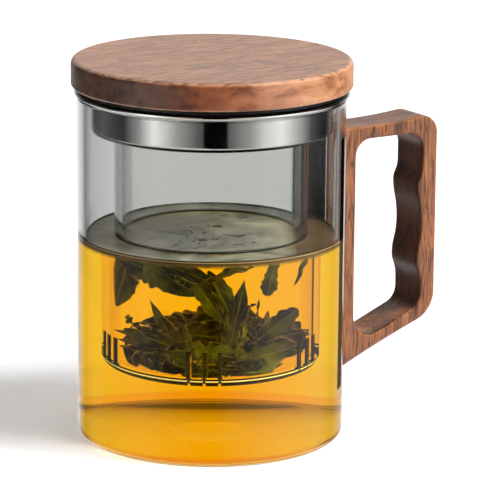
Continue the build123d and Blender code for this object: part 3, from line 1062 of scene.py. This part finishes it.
def makeLeaves():
    blanks = {name: leafBlank(name, *sizes) for name, sizes in leafShapes.items()}
    dice = random.Random(leafSizes["fillSeed"])
    made = {}
    for title, rows in (("leaves_hanging", hangingLeaves), ("leaves_heap", heapLeaves)):
        made[title] = [
            layLeaf(blanks[name], fromView(*start) * mm, fromView(*end) * mm, roll, widen)
            for name, start, end, roll, widen in rows
        ]
    made["leaves_heap"] += fillHeap(blanks, dice, *heapFill)
    made["leaves_hanging"] += fillHeap(blanks, dice, *hangingFill)
    made["leaf_scraps"] = layScraps(blanks, dice)
    made["slit_shade_strips"] = [
        slitShadeStrip(dice, slitSizes["phase"] + place * slitSizes["pitch"] + group * 360 / slitSizes["groups"])
        for group in range(slitSizes["groups"])
        for place in (-1, 0, 1)
    ]
    green = leafMaterial("wet leaf", *leafSizes["green"])
    looks = {
        "leaf_scraps": (leafMaterial("dark scrap", *leafSizes["dull"]), keepAfloat),
        "slit_shade_strips": (slitShadeMaterial(), None),
    }
    for title, pieces in made.items():
        whole = joinPieces(title, pieces)
        material, keep = looks.get(title, (green, keepInBasket))
        dress(whole, material)
        if keep:
            keep(whole)
        smooth(whole, 60)
        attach(whole, "infuser")
    for blank in blanks.values():
        bpy.data.objects.remove(blank)


makeLeaves()
print("leaves laid")

stage = {
    "floorSize": 8,
    "floorColor": (0.86, 0.86, 0.86, 1),
    "floorGlow": 0.36,
    "keyTurn": 74,  # degrees to the right of the camera, as seen from above
    "keyHeight": 38,
    "keyStrength": 4.2,
    "keySoftness": 14,
    "skyDiffuse": 0.18,
    "skyGlossy": 2.2,
    "tableShine": 1.3,
    "backLight": 0.45,
}

# brightness of the room round the object, by degrees to the right of the camera
roomBands = (
    (-180, 0.45), (-152, 0.3), (-139, 0.01), (-120, 0.09), (-88, 0.02), (-70, 0.28), (-55, 0.9), (-32, 0.33),
    (-12, 0.1), (-7.5, 0.08), (-7, 0), (14, 0), (14.5, 0.1), (37, 0.33), (51, 0.7), (67, 0.92), (84, 0.48),
    (104, 0.05), (130, 0), (150, 0.3), (180, 0.45),
)


def makeFloor():
    deselectAll()
    bpy.ops.mesh.primitive_plane_add(size=stage["floorSize"], location=(0, 0, -0.02 * mm))
    floor = bpy.context.object
    floor.name = "floor"
    sheet = Sheet("floor")
    rays = sheet.rays()
    sheet.feed({
        "Base Color": stage["floorColor"], "Roughness": 1, "Specular IOR Level": 0,
        "Emission Color": (1, 1, 1, 1),
        "Emission Strength": sheet.math("MULTIPLY", rays["Is Camera Ray"], stage["floorGlow"]),
    })
    white = sheet.add("ShaderNodeEmission", {"Color": (1, 1, 1, 1)})[0]
    through = sheet.either(rays["Is Transmission Ray"], sheet.own, white)
    # what shines shows the room's light and dark bands down to the table
    sheet.show(sheet.either(sheet.mirrored(), through, sheet.clear()))
    dress(floor, sheet.material)


def makeWorld():
    world = bpy.data.worlds.new("studio")
    bpy.context.scene.world = world
    world.use_nodes = True
    sky = Nodes(world.node_tree)
    calc = sky.math
    back = sky.tree.nodes["Background"].inputs
    back["Color"].default_value = (1, 1, 1, 1)
    rays = sky.rays()
    depth = rays["Transmission Depth"]
    x, y, z = sky.parts(sky.add("ShaderNodeTexCoord")["Generated"])
    circle = 2 * math.pi
    share = calc("FRACT", calc("MULTIPLY_ADD", calc("ARCTAN2", y, x), 1 / circle, 0.5 - viewTurn / circle))
    room = sky.ramp(share, [(degrees / 360 + 0.5, (value,) * 3) for degrees, value in roomBands])
    # it is dimmer overhead, except for what is seen inside the glass
    overhead = calc("MAXIMUM", sky.spread(z, 0.55, 0.85, 1, 0.35), calc("GREATER_THAN", depth, 1.5))
    glossy = calc("MULTIPLY", room, overhead)
    # low light straight behind the object, as seen from the camera
    behind = sky.spread(calc("ABSOLUTE", calc("SUBTRACT", share, 0.5)), 0.4, 0.44)
    behind = calc("MULTIPLY", behind, sky.spread(z, 0.22, 0.12))
    glossy = calc("MAXIMUM", glossy, calc("MULTIPLY", behind, stage["backLight"]))
    # light thrown back up by the base comes through this many surfaces, and is as bright from every side
    layers = calc("GREATER_THAN", depth, 4.5)
    glossy = calc("MAXIMUM", glossy, calc("MULTIPLY", layers, stage["backLight"]))
    glossy = calc("MULTIPLY", glossy, stage["skyGlossy"])
    seen = calc("MAXIMUM", rays["Is Camera Ray"], rays["Is Transmission Ray"])
    plain = sky.spread(seen, 0, 1, stage["skyDiffuse"], 1)
    shone = sky.middle(sky.spread(z, -0.42, -0.5), glossy, stage["tableShine"])
    sky.join(sky.middle(sky.mirrored(), plain, shone), back["Strength"])


def makeKey():
    data = bpy.data.lights.new("key", "SUN")
    data.energy = stage["keyStrength"]
    data.angle = math.radians(stage["keySoftness"])
    lamp = bpy.data.objects.new("key", data)
    bpy.context.scene.collection.objects.link(lamp)
    around, up = math.radians(stage["keyTurn"]), math.radians(stage["keyHeight"])
    spot = fromView(math.sin(around) * math.cos(up), math.cos(around) * math.cos(up), math.sin(up))
    lamp.location = spot
    lamp.rotation_euler = (-spot).to_track_quat("-Z", "Y").to_euler()
    lamp.visible_glossy = False


def makeCamera():
    data = bpy.data.cameras.new("camera")
    data.lens = cameraSizes["lens"]
    data.sensor_width = 36
    camera = bpy.data.objects.new("camera", data)
    bpy.context.scene.collection.objects.link(camera)
    spot = viewAway * -cameraSizes["distance"]
    spot.z = cameraSizes["height"]
    heading = viewTurn + math.pi / 2 - math.radians(cameraSizes["yaw"])
    pose = Matrix.Rotation(heading, 4, "Z")
    pose @= Matrix.Rotation(math.radians(90 - cameraSizes["pitch"]), 4, "X")
    pose @= Matrix.Rotation(math.radians(cameraSizes["roll"]), 4, "Z")
    camera.matrix_world = Matrix.Translation(spot) @ pose
    bpy.context.scene.camera = camera


makeFloor()
makeWorld()
makeCamera()
makeKey()
bpy.context.scene.view_settings.view_transform = "Standard"
print("stage made")
